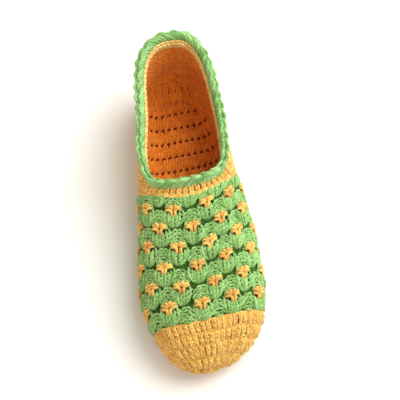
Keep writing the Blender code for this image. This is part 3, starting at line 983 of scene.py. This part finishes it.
def end_ring(yarn, fan_y, way, inner):
    """A row of stitches round the toe or heel of the sole, next to the feather line."""
    around = np.linspace(0.3, math.pi - 0.3, 81)
    first_turn = INNER_RING_TURN if inner else OUTER_RING_TURN
    turns = np.radians(np.linspace(first_turn, END_RING_TURN, 9))[:, None, None]
    headings = np.stack([-way * np.cos(around), way * np.sin(around), 0 * around], -1)
    directions = turned_down(headings, turns)
    points = reach_surface(on_spine(np.full(directions.shape[:2], fan_y)), directions)
    normals = outward(points)
    if inner:
        points, normals = points - normals * SOLE_WALL, -normals
    patch = Patch(points, normals, 40, 8)
    first, last = patch.ends(0.5)
    places = np.linspace(first, last, round((last - first) / SOLE_STITCH))
    for rows in END_RING_TIERS:
        posts(yarn, patch, rows, places, SOLE_STITCH, RING_SEAT, CLOSE_WEAVE)


def sole_ring(turn_count, per_fan, straight):
    """Grid of the whole sole: round the feather line by turns down to the middle."""
    fan_turns = np.linspace(0, math.pi / 2, per_fan + 1)
    sides = np.linspace(TOE_FAN_Y, HEEL_FAN_Y, straight + 1)[1:-1]
    starts = [0 * fan_turns + TOE_FAN_Y, sides, 0 * fan_turns + HEEL_FAN_Y]
    across = [np.sin(fan_turns), 0 * sides + 1, np.cos(fan_turns)]
    ahead = [-np.cos(fan_turns), 0 * sides, np.sin(fan_turns)]
    starts, across, ahead = map(np.concatenate, (starts, across, ahead))
    # Along one side to the heel and back along the other
    back = slice(-2, 0, -1)
    starts = np.concatenate([starts, starts[back]])
    across = np.concatenate([across, -across[back]])
    ahead = np.concatenate([ahead, ahead[back]])
    turns = np.linspace(0.01, math.pi / 2, turn_count + 1)
    headings = np.stack([across, ahead, 0 * ahead], -1)[:, None]
    directions = turned_down(headings, turns[None, :, None])
    points = reach_surface(on_spine(starts[:, None] + 0 * turns), directions)
    return points, outward(points)


def make_sole():
    under, inner = sole_patches()
    under_yarn, inner_yarn = Yarn(41), Yarn(42)
    sole_rows(under_yarn, under, 0.0)
    sole_rows(inner_yarn, inner, SOLE_OPENING)
    for fan_y, way in ((HEEL_FAN_Y, 1), (TOE_FAN_Y, -1)):
        end_ring(under_yarn, fan_y, way, False)
    end_ring(inner_yarn, HEEL_FAN_Y, 1, True)
    ring, ring_normals = sole_ring(14, 16, 40)
    rim_chain(under_yarn, np.concatenate([ring[:, 0], ring[:1, 0]]))
    under_yarn.make("sole_yarn_underside", GOLD, "gold_yarn", ["sole"], sides=5)
    # The inner yarn takes a deeper orange copy of the gold: painted shade inside the shoe
    inner_yarn.make("sole_yarn_inside", GOLD_INSIDE_PAINTED_SHADE, "gold_yarn", sides=6)
    make_backing(
        "sole_backing", ring, ring_normals, SOLE_WALL, GOLD_BACKING_PAINTED_SHADE, "gold_yarn", ring=True
    )


def rim_chain(yarn, rim):
    """A chain round the feather line that closes the sole against the upper."""
    run = distances_along(rim)[-1]
    loops = round(run / RIM_STITCH)
    starts = np.arange(loops)[:, None] * run / loops
    t = LOOP_STEPS
    for leg in (-1, 1):
        points = points_along(rim, (starts + run / loops * SHORT_REACH * t) % run)
        normals = outward(points)
        points[..., 2] += leg * hump(t**LINK_SKEW)
        points -= normals * (0.5 - 0.4 * hump(t))[..., None]
        yarn.add(points, normals, CHAIN_RADIUS * ends_drawn_in(t))


# Collar edging
EDGING_HEIGHT = 6.2
EDGING_FOOT = 1.6
LEAF_PITCH = 9.0
LEAF_STRANDS = 3
LEAF_STEP = 2.5
LEAF_RADIUS = 1.3
CORD_STEPS = 361
CORD_HEIGHT = 0.8
CORD_RADIUS = 1.5
EDGE_COUNT = 2880
# How far inwards of the collar's edge the edging sits
EDGE_SEAT = WALL / 2 - 1.2
RIM_LINK = 4.4
# How far down the wall each chain of the rim lies, and how deep in it
RIM_CHAINS = ((-0.4, 0.2), (1.7, -0.9), (3.9, -0.6), (6.2, 0.2))


class Collar:
    """The collar's edge as a closed loop, with its directions."""

    def __init__(self):
        outer, inner = (wall_half(side, 1)[:, -1] for side in (1, -1))
        loop = np.concatenate([outer, inner[-2::-1]])
        self.run = distances_along(loop)[-1]
        places = np.linspace(0, self.run, EDGE_COUNT, endpoint=False)
        self.edge = points_along(loop, places)
        self.normals = outward(self.edge)
        ahead = np.roll(self.edge, -1, axis=0) - np.roll(self.edge, 1, axis=0)
        self.upward = np.cross(self.normals, unit(ahead))

    def at(self, along):
        """Points and directions by distance along the collar."""
        i = np.round(along / self.run * EDGE_COUNT).astype(int) % EDGE_COUNT
        return self.edge[i], self.normals[i], self.upward[i]

    def on_edging(self, along, rise, out):
        """Points by distance along the collar, height over its edge, and outwards."""
        edge, side, up = self.at(along)
        lean = EDGING_LEAN * np.clip(rise / EDGING_HEIGHT, 0, 1)[..., None]
        rise_way = np.cos(lean) * up + np.sin(lean) * side
        thick_way = np.cos(lean) * side - np.sin(lean) * up
        points = edge - side * EDGE_SEAT
        points = points + rise_way * rise[..., None] + thick_way * out[..., None]
        return points, thick_way


def make_edging():
    collar = Collar()
    yarn = Yarn(51)
    leaves = round(collar.run / LEAF_PITCH)
    pitch = collar.run / leaves
    starts = np.arange(leaves)[:, None] * pitch
    t = np.linspace(0, 1, 11)[None, :]
    for face in (1, -1):
        for j in range(LEAF_STRANDS):
            jitter = yarn.random.normal(0, 0.18, (leaves, 3))
            along = starts + LEAF_STEP * j + pitch * (-0.35 + 1.25 * t) + jitter[:, :1]
            top = EDGING_HEIGHT * (1 - 0.10 * j) + jitter[:, 1:2]
            rise = (top + EDGING_FOOT) * hump(t**0.8 / 2) - EDGING_FOOT
            rise = rise - 1.6 * np.maximum(t - 0.75, 0) / 0.25
            out = face * (0.5 + 1.3 * hump(t, 0.8) - 0.1 * j)
            points, thick_way = collar.on_edging(along, rise, out)
            yarn.add(points, thick_way * face, LEAF_RADIUS * ends_drawn_in(t, 0.55))
    # A cord under the leaves closes the gaps between their feet
    along = np.linspace(0, collar.run, CORD_STEPS)[None, :]
    points, thick_way = collar.on_edging(along, 0 * along + CORD_HEIGHT, 0 * along)
    yarn.add(points, thick_way, CORD_RADIUS)
    # Chains of the wall's own yarn along the inside of its upper edge, in a paler gold:
    # painted light where the lamp falls on the inner rim
    rim = Yarn(52)
    links = round(collar.run / RIM_LINK)
    pitch = collar.run / links
    starts = np.arange(links)[:, None] * pitch
    t = LOOP_STEPS
    for depth, sink in RIM_CHAINS:
        for leg in (-1, 1):
            edge, side, up = collar.at(starts + pitch * (LINK_REACH * t + 0.3 * depth))
            rise = leg * 0.85 * hump(t**LINK_SKEW) - depth
            height = 0.4 * hump(t) - 0.4 * t - sink
            points = edge - side * (WALL + height)[..., None] + up * rise[..., None]
            rim.add(points, -side, 0.95 * ends_drawn_in(t))
    # The rim chains take a paler, creamier gold: painted light on the lit inner rim
    rim.make("collar_rim_yarn", GOLD_RIM_PAINTED_LIGHT, "gold_yarn", sides=6)
    yarn.make("collar_edging_yarn", GREEN_EDGE, "green_yarn", ["collar_edging"], sides=8)


# Materials: turns of the yarn's plies round it and along it
PLIES = 3
PLY_TURN = 3.4
YARN_SURFACE = {
    "Roughness": 0.82,
    "Specular IOR Level": 0.25,
    "Sheen Weight": 0.25,
    "Sheen Roughness": 0.5,
}
BACKING_SURFACE = {"Roughness": 0.9, "Specular IOR Level": 0.15}
FLOOR_SURFACE = {"Base Color": (0.93, 0.94, 0.95, 1.0), "Roughness": 0.9}


def linear(colour):
    """A colour given as eight-bit screen values, as the renderer wants it."""
    share = np.array(colour) / 255
    values = np.where(share < 0.04045, share / 12.92, ((share + 0.055) / 1.055) ** 2.4)
    return (*values.tolist(), 1.0)


class Look:
    """A material; an input of its nodes takes another's output or a value."""

    def __init__(self, name, surface):
        self.material = bpy.data.materials.new(name)
        self.material.use_nodes = True
        self.tree = self.material.node_tree
        self.shader = self.tree.nodes["Principled BSDF"]
        self.fill(self.shader, surface)

    def fill(self, node, inputs):
        for key, value in inputs.items():
            if isinstance(value, bpy.types.NodeSocket):
                self.tree.links.new(value, node.inputs[key])
            else:
                node.inputs[key].default_value = value

    def add(self, kind, inputs):
        node = self.tree.nodes.new(kind)
        self.fill(node, inputs)
        return node

    def math(self, operation, *values):
        node = self.add("ShaderNodeMath", dict(enumerate(values)))
        node.operation = operation
        return node.outputs[0]

    def texture(self, kind, output, **inputs):
        place = self.add("ShaderNodeTexCoord", {}).outputs["Object"]
        return self.add(kind, {"Vector": place, **inputs}).outputs[output]

    def noise(self, scale, detail):
        return self.texture("ShaderNodeTexNoise", 0, Scale=scale, Detail=detail)

    def colour(self, shade, *stops):
        """Blends two colours, each given after the shade at which it is reached."""
        ramp = self.add("ShaderNodeValToRGB", {0: shade})
        for element, stop in zip(ramp.color_ramp.elements, stops):
            element.position, element.color = stop[0], linear(stop[1])
        self.fill(self.shader, {"Base Color": ramp.outputs[0]})

    def relief(self, height, strength, distance, inward=False):
        inputs = {"Height": height, "Strength": strength, "Distance": distance}
        bump = self.add("ShaderNodeBump", inputs)
        bump.invert = inward
        self.fill(self.shader, {"Normal": bump.outputs[0]})


def yarn_material(name, dark, light):
    """Plied yarn: twisted grooves, darkened in the colour as painted shade, fine fibres
    and a slightly uneven dye.
    """
    look = Look(name, YARN_SURFACE)
    uv = look.add("ShaderNodeUVMap", {})
    uv.uv_map = UV_NAME
    split = look.add("ShaderNodeSeparateXYZ", {0: uv.outputs[0]})
    around = look.math("MULTIPLY", split.outputs[0], math.pi * PLIES)
    along = look.math("MULTIPLY", split.outputs[1], math.pi / PLY_TURN * PLIES / 2)
    ply = look.math("ABSOLUTE", look.math("SINE", look.math("ADD", around, along)))
    fibres = look.noise(2200.0, 3.0)
    tone = look.add("ShaderNodeAttribute", {})
    tone.attribute_name = TONE_NAME
    # The ply pattern darkens the colour in the grooves between plies: painted shade.
    # Fibres, the coarse noise and the tone vary the yarn's own colour at random
    shade = look.math("MULTIPLY", ply, 0.25)
    for part, weight in (
        (fibres, 0.3), (look.noise(90.0, 2.0), 0.25), (tone.outputs["Fac"], 0.35),
    ):
        shade = look.math("ADD", shade, look.math("MULTIPLY", part, weight))
    look.colour(shade, (0.2, dark), (0.85, light))
    height = look.math(
        "ADD", look.math("MULTIPLY", ply, 0.8), look.math("MULTIPLY", fibres, 0.35)
    )
    look.relief(height, 0.6, 0.00025)
    return look.material


def backing_material(name, dark, light):
    """The body of the cloth behind the stitches: matted yarn with deep pits. Its colour is
    far darker than the yarn, as painted shade in the gaps between stitches, and darkest in
    the pits.
    """
    look = Look(name, BACKING_SURFACE)
    cells = look.texture("ShaderNodeTexVoronoi", "Distance", Scale=420.0)
    shade = look.math("MULTIPLY", cells, look.noise(700.0, 4.0))
    look.colour(shade, (0.0, light), (0.5, dark))
    look.relief(cells, 0.8, 0.0004, inward=True)
    return look.material


# Stage: a pale floor, a dim warm world and three soft lamps
FLOOR_SIZE = 3.0
WORLD_COLOUR = (1.0, 0.97, 0.92, 1.0)
WORLD_STRENGTH = 0.46
VIEW_GAMMA = 0.9
Lamp = namedtuple("Lamp", "name place size power colour")
LAMPS = (
    Lamp("key", (0.76, 0.36, 0.95), 1.7, 27.0, (1.0, 0.99, 0.97)),
    Lamp("fill", (0.1, -0.9, 1.0), 1.0, 3.0, (1.0, 0.97, 0.92)),
    Lamp("side", (-0.75, -0.3, 0.3), 0.6, 1.5, (1.0, 0.66, 0.36)),
)
LAMP_AIM = np.array([0.0, 0.0, 0.03])


def facing(place, aim, upward):
    """Matrix of a thing at a place that looks at its aim."""
    backward = unit(place - aim)
    right = unit(np.cross(upward, backward))
    matrix = np.eye(4)
    matrix[:3] = np.stack([right, np.cross(backward, right), backward, place], axis=1)
    return Matrix(matrix.tolist())


def make_camera():
    a, e = CAMERA_AZIMUTH, CAMERA_ELEVATION
    right = np.array([math.cos(a), math.sin(a), 0.0])
    level = np.array([math.sin(a), -math.cos(a), 0.0])
    back = level * math.cos(e) + np.array([0.0, 0.0, math.sin(e)])
    upward = np.cross(back, right)
    centre = CAMERA_CENTRE + SPINE_MIDDLE
    place = centre + back * CAMERA_DISTANCE
    aim = centre + right * AIM_RIGHT + upward * AIM_UP
    data = bpy.data.cameras.new("camera")
    data.lens = CAMERA_LENS
    data.sensor_width = CAMERA_SENSOR
    data.clip_start = CAMERA_CLIP
    camera = bpy.data.objects.new("camera", data)
    camera.matrix_world = facing(place * MM, aim * MM, upward)
    link(camera)
    bpy.context.scene.camera = camera


def make_stage():
    near, far = -FLOOR_SIZE, FLOOR_SIZE
    mesh = bpy.data.meshes.new("floor")
    corners = [(near, near, 0), (far, near, 0), (far, far, 0), (near, far, 0)]
    mesh.from_pydata(corners, [], [(0, 1, 2, 3)])
    mesh.materials.append(Look("pale_floor", FLOOR_SURFACE).material)
    floor = bpy.data.objects.new("floor", mesh)
    link(floor)
    floor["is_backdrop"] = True
    world = bpy.data.worlds.new("studio")
    world.use_nodes = True
    background = world.node_tree.nodes["Background"]
    background.inputs["Color"].default_value = WORLD_COLOUR
    background.inputs["Strength"].default_value = WORLD_STRENGTH
    bpy.context.scene.world = world
    for lamp in LAMPS:
        data = bpy.data.lights.new(lamp.name, "AREA")
        data.shape = "DISK"
        data.size = lamp.size
        data.energy = lamp.power
        data.color = lamp.colour
        light = bpy.data.objects.new(lamp.name, data)
        light.matrix_world = facing(np.array(lamp.place), LAMP_AIM, [0.0, 0.0, 1.0])
        link(light)
    bpy.context.scene.view_settings.view_transform = "Standard"
    bpy.context.scene.view_settings.gamma = VIEW_GAMMA


make_camera()
GOLD = yarn_material("gold_yarn_look", (180, 116, 38), (239, 204, 114))
# Deeper, more saturated orange copy of the gold for yarn inside the shoe: painted shade
# and bounce light of the interior
GOLD_INSIDE_PAINTED_SHADE = yarn_material("gold_inside_painted_shade_look", (208, 112, 24), (250, 166, 54))
# Paler, creamier copy of the gold for the inner rim: painted light of the lit strip inside
# the collar
GOLD_RIM_PAINTED_LIGHT = yarn_material("gold_rim_painted_light_look", (206, 152, 74), (248, 224, 150))
GREEN = yarn_material("green_yarn_look", (78, 124, 40), (166, 208, 134))
GREEN_EDGE = yarn_material("green_edging_look", (88, 138, 58), (170, 214, 146))
# Dark backings show through the gaps between stitches: painted shade, not the yarn's own
# colour
GOLD_BACKING_PAINTED_SHADE = backing_material("gold_backing_painted_shade_look", (92, 38, 7), (146, 72, 17))
GREEN_BACKING_PAINTED_SHADE = backing_material("green_backing_painted_shade_look", (38, 66, 18), (74, 112, 40))
make_toe_cap()
make_vamp()
make_walls()
make_sole()
make_edging()
make_stage()

boxes = {"cad": CAD_BOX, "scene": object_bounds()}
{key: [list(map(float, c)) for c in box] for key, box in boxes.items()}
